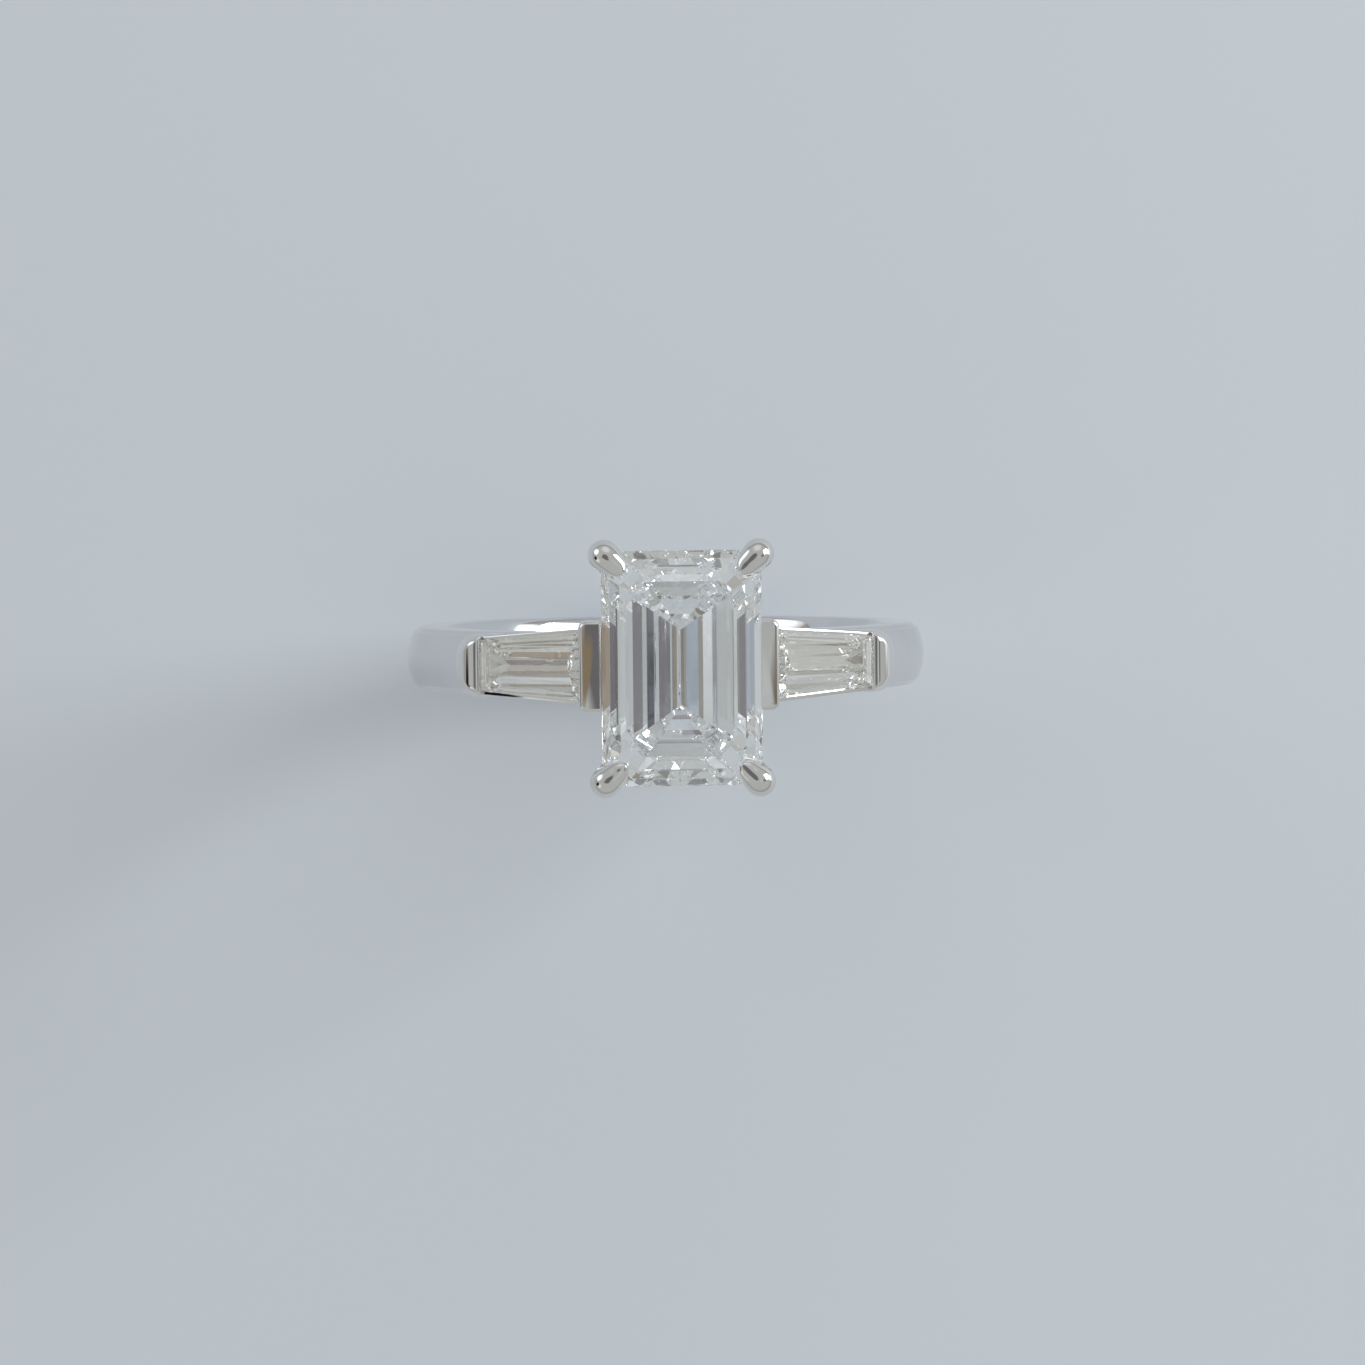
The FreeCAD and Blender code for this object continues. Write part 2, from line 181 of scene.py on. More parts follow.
def subdivide(piece: bpy.types.Object, levels: int) -> None:
    """Smooths a piece by Catmull-Clark subdivision.

    Args:
        piece: The piece.
        levels: How many times each face is split.
    """
    modifier = piece.modifiers.new("subdivide", "SUBSURF")
    modifier.levels = levels
    modifier.render_levels = levels
    apply_modifiers(piece)


def bevel(piece: bpy.types.Object, width: float, segments: int = 3) -> None:
    """Rounds every edge of a piece sharper than SHARP_DEGREES.

    Args:
        piece: The piece, in millimetres.
        width: Width of the rounding.
        segments: How many faces go round it.
    """
    modifier = piece.modifiers.new("bevel", "BEVEL")
    modifier.width = width
    modifier.segments = segments
    modifier.limit_method = "ANGLE"
    modifier.angle_limit = math.radians(SHARP_DEGREES)
    modifier.use_clamp_overlap = True
    apply_modifiers(piece)


def carve(piece: bpy.types.Object, cutters: Sequence[bmesh.types.BMesh]) -> None:
    """Cuts closed solids out of a piece.

    Args:
        piece: The piece, in millimetres.
        cutters: Closed solids, which are used up.
    """
    for cutter in cutters:
        tool = to_object("cutter", cutter)
        modifier = piece.modifiers.new("carve", "BOOLEAN")
        modifier.object = tool
        modifier.operation = "DIFFERENCE"
        modifier.solver = "EXACT"
        apply_modifiers(piece)
        tool_mesh = tool.data
        bpy.data.objects.remove(tool)
        bpy.data.meshes.remove(tool_mesh)


def shade(piece: bpy.types.Object, smooth: bool) -> None:
    """Shades a piece flat, or smooth with creases where its faces meet sharply.

    Args:
        piece: The piece.
        smooth: Whether its faces blend into each other.
    """
    bm = bmesh.new()
    bm.from_mesh(piece.data)
    limit = math.radians(SHARP_DEGREES)
    for face in bm.faces:
        face.smooth = smooth
    for edge in bm.edges:
        edge.smooth = edge.is_manifold and edge.calc_face_angle(0.0) < limit
    bm.to_mesh(piece.data)
    bm.free()


def finish_piece(
    piece: bpy.types.Object,
    nodes: Sequence[str],
    materials: Sequence[bpy.types.Material],
) -> None:
    """Brings a piece to metres, dresses it and hangs it on the frame.

    Args:
        piece: The piece, in millimetres.
        nodes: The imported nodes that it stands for.
        materials: Its materials, in the order of its faces' material indices.
    """
    piece.data.transform(Matrix.Scale(MM, 4))
    piece.data.materials.clear()
    for material in materials:
        piece.data.materials.append(material)
    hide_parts(*nodes)
    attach(piece, BODY)
    log.info("%s: %d faces", piece.name, len(piece.data.polygons))


def arc(
    centre: tuple[float, float], radius: float, start: float, end: float, count: int
) -> list[tuple[float, float]]:
    """Points on a flat arc.

    Args:
        centre: Centre of the arc.
        radius: Its radius.
        start: First angle in degrees.
        end: Last angle in degrees.
        count: How many points.

    Returns:
        The points, from start to end.
    """
    points = []
    for i in range(count):
        angle = math.radians(start + (end - start) * i / (count - 1))
        x = centre[0] + radius * math.cos(angle)
        points.append((x, centre[1] + radius * math.sin(angle)))
    return points


def octagon(half_x: float, half_y: float, leg: float, z: float) -> Outline:
    """Draws a cut-cornered rectangle.

    Args:
        half_x: Half of its width across the finger.
        half_y: Half of its length along the finger.
        leg: Leg of each cut corner.
        z: Its height.

    Returns:
        The closed outline, anticlockwise from above.
    """
    points = [
        (half_x, leg - half_y),
        (half_x, half_y - leg),
        (half_x - leg, half_y),
        (leg - half_x, half_y),
        (-half_x, half_y - leg),
        (-half_x, leg - half_y),
        (leg - half_x, -half_y),
        (half_x - leg, -half_y),
    ]
    return [Vector((x, y, z)) for x, y in points]


def roll(z: float, top: float, radius: float) -> float:
    """Measures how far a rolled edge stands in at some height.

    Args:
        z: The height asked about.
        top: Height of the edge's top.
        radius: Radius of the roll.

    Returns:
        The distance in from the side, which is 0 below the roll.
    """
    above = z - (top - radius)
    if above <= 0.0:
        return 0.0
    return radius - math.sqrt(max(0.0, radius**2 - above**2))


def rounded_plan(
    inner: float,
    outer: float,
    half_width: float,
    inner_round: float,
    outer_round: float,
    height: float,
) -> Outline:
    """Plan of a bar with rounded corners.

    Args:
        inner: X of the side towards the head.
        outer: X of the side away from it.
        half_width: Half of its width along the finger.
        inner_round: Radius of the corners on the inner side.
        outer_round: Radius of the corners on the outer side.
        height: Height of the plan.

    Returns:
        The closed outline, anticlockwise from above.
    """
    far, near = outer - outer_round, inner + inner_round
    points = []
    for x, y, radius, start in (
        (far, outer_round - half_width, outer_round, -90),
        (far, half_width - outer_round, outer_round, 0),
        (near, half_width - inner_round, inner_round, 90),
        (near, inner_round - half_width, inner_round, 180),
    ):
        points += arc((x, y), radius, start, start + 90, CORNER_POINTS)
    return [Vector((x, y, height)) for x, y in points]


# ---------------------------------------------------------------------- shader building


class Nodes:
    """A node tree, with short ways to add and join nodes."""

    def __init__(self, tree: bpy.types.NodeTree) -> None:
        """Keeps the tree and empties it."""
        self.tree = tree
        tree.nodes.clear()

    def add(self, kind: str, **inputs: object) -> bpy.types.Node:
        """Adds a node.

        Args:
            kind: The node's type.
            **inputs: Values, or output sockets to join, by input name with underscores.

        Returns:
            The new node.
        """
        node = self.tree.nodes.new(kind)
        for name, value in inputs.items():
            self.set(node, name.replace("_", " "), value)
        return node

    def set(self, node: bpy.types.Node, name: str | int, value: object) -> None:
        """Sets an input of a node, or joins an output socket to it.

        Args:
            node: The node.
            name: Name or number of its input.
            value: A value, or an output socket to join.
        """
        if isinstance(value, bpy.types.NodeSocket):
            self.tree.links.new(value, node.inputs[name])
        else:
            node.inputs[name].default_value = value

    def map_range(
        self, value: Socket, low: float, high: float, to_low: float, to_high: float
    ) -> Socket:
        """Maps a value from one range to another, clamped at both ends.

        Args:
            value: The value.
            low: Start of its range.
            high: End of its range.
            to_low: Result at low.
            to_high: Result at high.

        Returns:
            The mapped value.
        """
        node = self.add("ShaderNodeMapRange", Value=value)
        ends = {"From Min": low, "From Max": high, "To Min": to_low, "To Max": to_high}
        for name, number in ends.items():
            self.set(node, name, number)
        return node.outputs["Result"]

    def mix(self, factor: Socket, first: object, second: object) -> Socket:
        """Mixes two colours.

        Args:
            factor: 0 for the first, 1 for the second.
            first: A colour, or an output socket.
            second: A colour, or an output socket.

        Returns:
            The mixed colour.
        """
        node = self.tree.nodes.new("ShaderNodeMix")
        node.data_type = "RGBA"
        factor_in, first_in, second_in, colour_out = 0, 6, 7, 2
        for index, value in ((factor_in, factor), (first_in, first), (second_in, second)):
            self.set(node, index, value)
        return node.outputs[colour_out]

    def maths(self, operation: str, *values: object) -> Socket:
        """Works out a sum.

        Args:
            operation: The node's operation.
            *values: Numbers, or output sockets, in order.

        Returns:
            The result.
        """
        node = self.tree.nodes.new("ShaderNodeMath")
        node.operation = operation
        for index, value in enumerate(values):
            self.set(node, index, value)
        return node.outputs[0]


def new_group(
    name: str, inputs: Sequence[tuple[str, str, object]], outputs: Sequence[tuple[str, str]]
) -> tuple[bpy.types.NodeTree, Nodes]:
    """Makes a shader node group with named sockets.

    Args:
        name: The group's name.
        inputs: Name, socket type and default value of each input.
        outputs: Name and socket type of each output.

    Returns:
        The group and a way to fill it.
    """
    group = bpy.data.node_groups.new(name, "ShaderNodeTree")
    for socket_name, kind, value in inputs:
        made = group.interface.new_socket(socket_name, in_out="INPUT", socket_type=kind)
        made.default_value = value
    for socket_name, kind in outputs:
        group.interface.new_socket(socket_name, in_out="OUTPUT", socket_type=kind)
    return group, Nodes(group)


FLOAT = "NodeSocketFloat"
COLOUR = "NodeSocketColor"
SMUDGE_FADE = (0.42, 0.72)  # noise values where a smudge starts and is whole
HAIRLINE_FADE = (0.60, 0.72)
TINT_FADE = (0.35, 0.65)
HAIRLINE_TURN = (0.4, 0.9, 0.3)  # radians, so that hairlines run along no edge
HAIRLINE_STRETCH = (0.06, 1.0, 1.0)  # draws the noise out into lines


def make_wear_group() -> bpy.types.NodeTree:
    """Builds hairlines and smudges as a polished metal gathers them.

    Returns:
        A group that puts out a tint, a roughness and a height.
    """
    inputs = [
        ("Tint", COLOUR, (0.8, 0.8, 0.8, 1.0)),
        ("Smudge Tint", COLOUR, (0.7, 0.7, 0.7, 1.0)),
        ("Polish", FLOAT, 0.03),
        ("Smudge Roughness", FLOAT, 0.1),
        ("Smudge Scale", FLOAT, 300.0),
        ("Hairline Scale", FLOAT, 2500.0),
    ]
    group, nodes = new_group(
        "hairline_wear", inputs, [("Colour", COLOUR), ("Roughness", FLOAT), ("Height", FLOAT)]
    )
    given = nodes.add("NodeGroupInput")
    where = nodes.add("ShaderNodeTexCoord").outputs["Object"]
    smudge = nodes.add(
        "ShaderNodeTexNoise", Vector=where, Scale=given.outputs["Smudge Scale"], Detail=4.0
    )
    patch = nodes.map_range(smudge.outputs["Fac"], *SMUDGE_FADE, 0.0, 1.0)
    turned = nodes.add(
        "ShaderNodeMapping", Vector=where, Rotation=HAIRLINE_TURN, Scale=HAIRLINE_STRETCH
    )
    hairs = nodes.add(
        "ShaderNodeTexNoise",
        Vector=turned.outputs["Vector"],
        Scale=given.outputs["Hairline Scale"],
        Detail=3.0,
    )
    line = nodes.map_range(hairs.outputs["Fac"], *HAIRLINE_FADE, 0.0, 1.0)
    colour = nodes.mix(patch, given.outputs["Tint"], given.outputs["Smudge Tint"])
    polish = given.outputs["Polish"]
    spread = nodes.maths("SUBTRACT", given.outputs["Smudge Roughness"], polish)
    rough = nodes.maths("MULTIPLY_ADD", patch, spread, polish)
    nodes.add("NodeGroupOutput", Colour=colour, Roughness=rough, Height=line)
    return group


def make_tint_group() -> bpy.types.NodeTree:
    """Builds the slow drift of body colour through a diamond.

    Returns:
        A group that puts out a colour.
    """
    inputs = [
        ("Clear", COLOUR, (1.0, 1.0, 1.0, 1.0)),
        ("Drift", COLOUR, (0.95, 0.95, 0.95, 1.0)),
        ("Scale", FLOAT, 200.0),
    ]
    group, nodes = new_group("body_tint", inputs, [("Colour", COLOUR)])
    given = nodes.add("NodeGroupInput")
    where = nodes.add("ShaderNodeTexCoord").outputs["Object"]
    drift = nodes.add(
        "ShaderNodeTexNoise", Vector=where, Scale=given.outputs["Scale"], Detail=2.0
    )
    share = nodes.map_range(drift.outputs["Fac"], *TINT_FADE, 0.0, 1.0)
    colour = nodes.mix(share, given.outputs["Clear"], given.outputs["Drift"])
    nodes.add("NodeGroupOutput", Colour=colour)
    return group


class Effects:
    """The shader groups that more than one finish places."""

    def __init__(self) -> None:
        """Builds each group once."""
        self.wear = make_wear_group()
        self.tint = make_tint_group()


def start_material(
    name: str, group: bpy.types.NodeTree, values: dict[str, object]
) -> tuple[bpy.types.Material, Nodes, bpy.types.Node]:
    """Starts a material with a shared group placed in it.

    Args:
        name: The material's name.
        group: The shader group.
        values: The group's own values here, by input name.

    Returns:
        The material, a way to fill it, and the placed group.
    """
    made = bpy.data.materials.new(name)
    made.use_nodes = True
    nodes = Nodes(made.node_tree)
    placed = nodes.add("ShaderNodeGroup")
    placed.node_tree = group
    for socket, value in values.items():
        nodes.set(placed, socket, value)
    return made, nodes, placed


@dataclass(frozen=True)
class Platinum:
    """Polished white metal with hairlines and faint smudges.

    Attributes:
        name: The material's name.
        tint: Colour of the clean metal.
        smudge_tint: Colour under a smudge.
        polish: Roughness of the clean metal.
        smudge_roughness: Roughness under a smudge.
        smudge_scale: How fine the smudges are.
        hairline_scale: How fine the hairlines are.
        hairline_depth_um: Depth of a hairline, in micrometres.
    """

    name: str
    tint: tuple[float, float, float]
    smudge_tint: tuple[float, float, float]
    polish: float
    smudge_roughness: float
    smudge_scale: float
    hairline_scale: float
    hairline_depth_um: float

    def material(self, effects: Effects) -> bpy.types.Material:
        """Builds the material from the shared wear group.

        Args:
            effects: The shared groups.

        Returns:
            The material.
        """
        values = {
            "Tint": (*self.tint, 1.0),
            "Smudge Tint": (*self.smudge_tint, 1.0),
            "Polish": self.polish,
            "Smudge Roughness": self.smudge_roughness,
            "Smudge Scale": self.smudge_scale,
            "Hairline Scale": self.hairline_scale,
        }
        made, nodes, wear = start_material(self.name, effects.wear, values)
        bump = nodes.add(
            "ShaderNodeBump",
            Height=wear.outputs["Height"],
            Strength=1.0,
            Distance=self.hairline_depth_um * MICROMETRE,
        )
        bump.invert = True
        surface = nodes.add(
            "ShaderNodeBsdfPrincipled",
            Base_Color=wear.outputs["Colour"],
            Roughness=wear.outputs["Roughness"],
            Normal=bump.outputs["Normal"],
            Metallic=1.0,
        )
        nodes.add("ShaderNodeOutputMaterial", Surface=surface.outputs[0])
        return made


@dataclass(frozen=True)
class Diamond:
    """Cut diamond, with a polished or a matt surface.

    Attributes:
        name: The material's name.
        clear: Its body colour.
        drift: The body colour that it drifts to.
        drift_scale: How fine the drift is.
        roughness: Roughness of its surface.
        ior: Its refractive index.
    """

    name: str
    clear: tuple[float, float, float]
    drift: tuple[float, float, float]
    drift_scale: float
    roughness: float
    ior: float = 2.417

    def material(self, effects: Effects) -> bpy.types.Material:
        """Builds the material from the shared body tint group.

        Args:
            effects: The shared groups.

        Returns:
            The material.
        """
        values = {
            "Clear": (*self.clear, 1.0),
            "Drift": (*self.drift, 1.0),
            "Scale": self.drift_scale,
        }
        made, nodes, tint = start_material(self.name, effects.tint, values)
        surface = nodes.add(
            "ShaderNodeBsdfPrincipled",
            Base_Color=tint.outputs["Colour"],
            Roughness=self.roughness,
            IOR=self.ior,
            Transmission_Weight=1.0,
        )
        nodes.add("ShaderNodeOutputMaterial", Surface=surface.outputs[0])
        return made


class Finishes:
    """Every material of the ring, built once."""

    def __init__(self) -> None:
        """Builds the materials."""
        effects = Effects()
        self.band = Platinum(
            name="band_platinum",
            tint=(0.79, 0.79, 0.80),
            smudge_tint=(0.72, 0.72, 0.74),
            polish=0.035,
            smudge_roughness=0.11,
            smudge_scale=260.0,
            hairline_scale=2600.0,
            hairline_depth_um=0.6,
        ).material(effects)
        self.setting = Platinum(
            name="setting_platinum",
            tint=(0.835, 0.825, 0.81),
            smudge_tint=(0.78, 0.765, 0.75),
            polish=0.02,
            smudge_roughness=0.07,
            smudge_scale=700.0,
            hairline_scale=5200.0,
            hairline_depth_um=0.3,
        ).material(effects)
        self.centre_stone = Diamond(
            name="centre_diamond_facets",
            clear=(0.985, 0.995, 1.0),
            drift=(0.965, 0.985, 0.98),
            drift_scale=180.0,
            roughness=0.0,
        ).material(effects)
        self.side_stone = Diamond(
            name="side_diamond_facets",
            clear=(1.0, 0.992, 0.96),
            drift=(0.985, 0.97, 0.925),
            drift_scale=260.0,
            roughness=0.0,
        ).material(effects)
        self.girdle = Diamond(
            name="diamond_girdle",
            clear=(0.97, 0.98, 0.99),
            drift=(0.9, 0.92, 0.94),
            drift_scale=900.0,
            roughness=0.22,
        ).material(effects)


# ------------------------------------------------------------------------------- stones


@dataclass(frozen=True)
class Step:
    """One row of step-cut facets, from the girdle outwards.

    Attributes:
        inset: How far the row moves in, square to the stone's side.
        height: How far it moves up or down.
        corner: The cut corner's leg after the row.
    """

    inset: float
    height: float
    corner: float


@dataclass(frozen=True)
class TaperedStep:
    """One row of a tapered baguette's facets, from the girdle outwards.

    Attributes:
        inset: How far the row moves in, square to the long sides.
        height: How far it moves up or down.
        wide_inset: How far it moves in at the wide end.
        narrow_inset: How far it moves in at the narrow end.
    """

    inset: float
    height: float
    wide_inset: float
    narrow_inset: float


@dataclass
class CentreStone:
    """The step-cut centre diamond with cut corners."""

    finishes: Finishes
    corner: float = 0.85
    girdle: float = 0.18
    crown: tuple[Step, ...] = (
        Step(0.30, 0.30, 0.74),
        Step(0.36, 0.27, 0.62),
        Step(0.47, 0.22, 0.48),
    )
    pavilion: tuple[Step, ...] = (Step(0.70, 1.05, 0.66), Step(1.00, 1.05, 0.40))
    node: str = "centre_diamond"

    def __post_init__(self) -> None:
        """Reads the stone's outer sizes from the frame."""
        low, high = node_box(self.node)
        self.half_x = high.x
        self.half_y = high.y
        self.keel_z = low.z
        self.table_z = high.z
        self.girdle_top = high.z - sum(step.height for step in self.crown)
        self.girdle_low = self.girdle_top - self.girdle

    def row(self, inset: float, leg: float, z: float) -> Outline:
        """Returns the stone's outline after an inset, at height z."""
        return octagon(self.half_x - inset, self.half_y - inset, leg, z)

    def rows(self, steps: Sequence[Step], start_z: float, sign: int) -> list[Outline]:
        """Outlines from the girdle's edge on.

        Args:
            steps: The rows of facets.
            start_z: Height of the girdle's edge.
            sign: 1 for the crown, -1 for the pavilion.

        Returns:
            One outline more than there are steps.
        """
        inset, z = 0.0, start_z
        found = [self.row(inset, self.corner, z)]
        for step in steps:
            inset += step.inset
            z += sign * step.height
            found.append(self.row(inset, step.corner, z))
        return found

    def solid(self, grow: float = 0.0) -> bmesh.types.BMesh:
        """Builds the stone's facets.

        Args:
            grow: How far to push every point out from the stone's axis and middle.

        Returns:
            The closed solid, in millimetres.
        """
        keel = octagon(0.0, self.half_y - self.half_x, 0.0, self.keel_z)
        low = list(reversed(self.rows(self.pavilion, self.girdle_low, -1)))
        high = self.rows(self.crown, self.girdle_top, 1)
        bm = loft([keel, *low, *high], caps=False)
        bmesh.ops.holes_fill(bm, edges=bm.edges)
        bmesh.ops.recalc_face_normals(bm, faces=bm.faces)
        return grown(bm, grow)

    def build(self) -> None:
        """Builds and dresses the stone."""
        piece = to_object("centre_stone", self.solid())
        mark_girdle(piece)
        shade(piece, smooth=False)
        materials = [self.finishes.centre_stone, self.finishes.girdle]
        finish_piece(piece, [self.node], materials)


def grown(bm: bmesh.types.BMesh, distance: float) -> bmesh.types.BMesh:
    """Pushes every face of a convex solid out, along its corners.

    Args:
        bm: The solid.
        distance: About how far out its faces go.

    Returns:
        The same solid.
    """
    if distance:
        bm.normal_update()
        moves = {vert: vert.normal * vert.calc_shell_factor() for vert in bm.verts}
        for vert, move in moves.items():
            vert.co += move * distance
    return bm


def mark_girdle(piece: bpy.types.Object) -> None:
    """Gives an upright stone's girdle the second material.

    Args:
        piece: The stone, with its table facing up.
    """
    for face in piece.data.polygons:
        if abs(face.normal.dot(UP)) < GIRDLE_SLOPE:
            face.material_index = 1


@dataclass
class Baguette:
    """A tapered baguette diamond in its own frame: X along it, Z square to its table."""

    length: float = 4.3
    wide_end: float = 2.58
    narrow_end: float = 1.94
    girdle: float = 0.10
    crown: TaperedStep = TaperedStep(0.33, 0.24, 0.24, 0.56)
    pavilion: TaperedStep = TaperedStep(0.30, 0.42, 0.28, 0.44)
    keel_drop: float = 0.48
    keel_wide_inset: float = 0.75
    keel_narrow_inset: float = 1.20

    @property
    def half(self) -> float:
        """Half of the stone's length."""
        return self.length / 2

    def half_width(self, along: float, inset: float = 0.0) -> float:
        """Measures half of the stone's width.

        Args:
            along: The place along the stone.
            inset: How far the long sides have moved in.

        Returns:
            Half of the width there.
        """
        share = (along + self.half) / self.length
        width = self.wide_end + share * (self.narrow_end - self.wide_end)
        taper = (self.wide_end - self.narrow_end) / 2
        return width / 2 - inset * math.hypot(taper, self.length) / self.length

    def row(self, step: TaperedStep, up: float) -> Outline:
        """Draws the tapered outline after a row of facets.

        Args:
            step: The row.
            up: The outline's height.

        Returns:
            The closed outline.
        """
        inset = step.inset
        start, end = step.wide_inset - self.half, self.half - step.narrow_inset
        wide, narrow = self.half_width(start, inset), self.half_width(end, inset)
        corners = [(start, -wide), (end, -narrow), (end, narrow), (start, wide)]
        return [Vector((x, y, up)) for x, y in corners]

    def keel_point(self, along: float) -> Vector:
        """Finds a point of the keel.

        Args:
            along: The place along the stone.

        Returns:
            The point, which is deeper where the stone is wider.
        """
        inset = self.pavilion.inset
        share = self.half_width(along, inset) / self.half_width(0.0, inset)
        depth = self.girdle / 2 + self.pavilion.height + self.keel_drop * share
        return Vector((along, 0.0, -depth))

    def solid(self, grow: float = 0.0) -> bmesh.types.BMesh:
        """Builds the facets in the stone's own frame.

        Args:
            grow: How far to push every face out.

        Returns:
            The closed solid.
        """
        wide = self.keel_point(self.keel_wide_inset - self.half)
        narrow = self.keel_point(self.half - self.keel_narrow_inset)
        edge = self.girdle / 2
        rim = TaperedStep(0.0, 0.0, 0.0, 0.0)
        rows = [
            [wide.copy(), narrow.copy(), narrow.copy(), wide.copy()],
            self.row(self.pavilion, -edge - self.pavilion.height),
            self.row(rim, -edge),
            self.row(rim, edge),
            self.row(self.crown, edge + self.crown.height),
        ]
        bm = loft(rows, caps=False)
        bmesh.ops.holes_fill(bm, edges=bm.edges)
        bmesh.ops.recalc_face_normals(bm, faces=bm.faces)
        return grown(bm, grow)


# -------------------------------------------------------------------------------- metal


@dataclass
class Shank:
    """The plain domed band, with a flat on top for the head."""

    finishes: Finishes
    dome: float = 0.36
    thickness: float = 1.8
    inner_round_depth: float = 0.24
    inner_round_reach: float = 0.80
    inner_round_points: int = 14
    outer_round: float = 0.25
    outer_round_sink: float = 0.9  # of the rounding's centre below the edge, in radii
    outer_round_overlap: float = 0.8  # of the dome's end short of the side, in radii
    outer_round_turn: tuple[float, float] = (80.0, 30.0)
    outer_round_points: int = 6
    seat_depth: float = 0.45
    turns: int = 288
    dome_points: int = 25
    node: str = "shank"

    def __post_init__(self) -> None:
        """Reads the band's radius and width from the frame."""
        _, high = node_box(self.node)
        self.radius = high.x
        self.half_width = high.y
        self.seat_z = self.radius - self.seat_depth

    def section(self) -> list[tuple[float, float]]:
        """Draws the D-shaped section of the band.

        Returns:
            Its points as (radius, place along the finger).
        """
        inner = self.radius - self.thickness
        half, deep, reach_in = self.half_width, self.inner_round_depth, self.inner_round_reach
        comfort = []
        for turn, along in arc((0.0, 0.0), 1.0, 180, 90, self.inner_round_points):
            comfort.append((inner + deep * (1 + turn), half - reach_in * (1 - along)))
        big = self.outer_round
        middle = self.radius - self.dome - big * self.outer_round_sink
        start, end = self.outer_round_turn
        corner = arc((middle, half - big), big, start, end, self.outer_round_points)
        dome_radius = (half**2 + self.dome**2) / (2 * self.dome)
        dome_end = half - big * self.outer_round_overlap
        reach = math.degrees(math.asin(dome_end / dome_radius))
        centre = (self.radius - dome_radius, 0.0)
        dome = arc(centre, dome_radius, reach, -reach, self.dome_points)
        back = [*comfort, *corner]
        front = [(radius, -along) for radius, along in reversed(back)]
        return [*back, *dome, *front]

    def build(self) -> None:
        """Builds and dresses the band."""
        section = self.section()
        bm = bmesh.new()
        rows = []
        for i in range(self.turns):
            angle = 2 * math.pi * i / self.turns
            turn = (math.sin(angle), math.cos(angle))
            rows.append([bm.verts.new((r * turn[0], y, r * turn[1])) for r, y in section])
        for low, high in zip(rows, rows[1:] + rows[:1]):
            for i in range(len(section)):
                j = (i + 1) % len(section)
                bm.faces.new((low[i], low[j], high[j], high[i]))
        bmesh.ops.recalc_face_normals(bm, faces=bm.faces)
        everything = list(bm.verts) + list(bm.edges) + list(bm.faces)
        seat = Vector((0.0, 0.0, self.seat_z))
        cut = bmesh.ops.bisect_plane(
            bm, geom=everything, plane_co=seat, plane_no=(0, 0, 1), clear_outer=True
        )
        rim = [e for e in cut["geom_cut"] if isinstance(e, bmesh.types.BMEdge)]
        bmesh.ops.holes_fill(bm, edges=rim)
        piece = to_object("band", bm)
        shade(piece, smooth=True)
        finish_piece(piece, [self.node], [self.finishes.band])


@dataclass(frozen=True)
class ClawShape:
    """Sizes of one claw, before it is smoothed and cut to the stone.

    Attributes:
        foot_inset: From the lower rail's corner in to the leg's axis.
        knuckle_inset: From the claw's outermost point in to the knuckle.
        knuckle_rise: Of the knuckle above the girdle.
        lean_stretch: How much longer the leg's outlines are, out from the stone.
        leg: Height above the lower rail and radius of each outline of the leg.
        pivot_inset: From the stone's cut corner in to the point the claw bends about.
        heel: How far the bend's outlines reach in past that point.
        bend: Turn in degrees, reach and half width of each outline of the bend.
        talon: How far in, lowest and highest point and half width of each outline
            of the talon, from the point the claw bends about.
        points: Points on each outline.
        smoothing: How many times the faces are split.
    """

    foot_inset: float = 0.25
    knuckle_inset: float = 0.5
    knuckle_rise: float = 0.12
    lean_stretch: float = 1.10
    leg: tuple[tuple[float, float], ...] = (
        (0.0, 0.37),
        (0.03, 0.395),
        (0.5, 0.41),
        (1.6, 0.43),
        (2.7, 0.455),
        (3.3, 0.50),
    )
    pivot_inset: float = 0.03
    heel: float = 0.12
    bend: tuple[tuple[float, float, float], ...] = (
        (0.0, 1.11, 0.59),
        (28.0, 1.13, 0.60),
        (55.0, 1.03, 0.575),
        (80.0, 0.85, 0.52),
    )
    talon: tuple[tuple[float, float, float, float], ...] = (
        (0.13, 0.10, 0.79, 0.455),
        (0.26, 0.22, 0.78, 0.40),
        (0.38, 0.32, 0.765, 0.32),
        (0.49, 0.41, 0.745, 0.21),
        (0.56, 0.49, 0.72, 0.09),
    )
    points: int = 16
    smoothing: int = 2


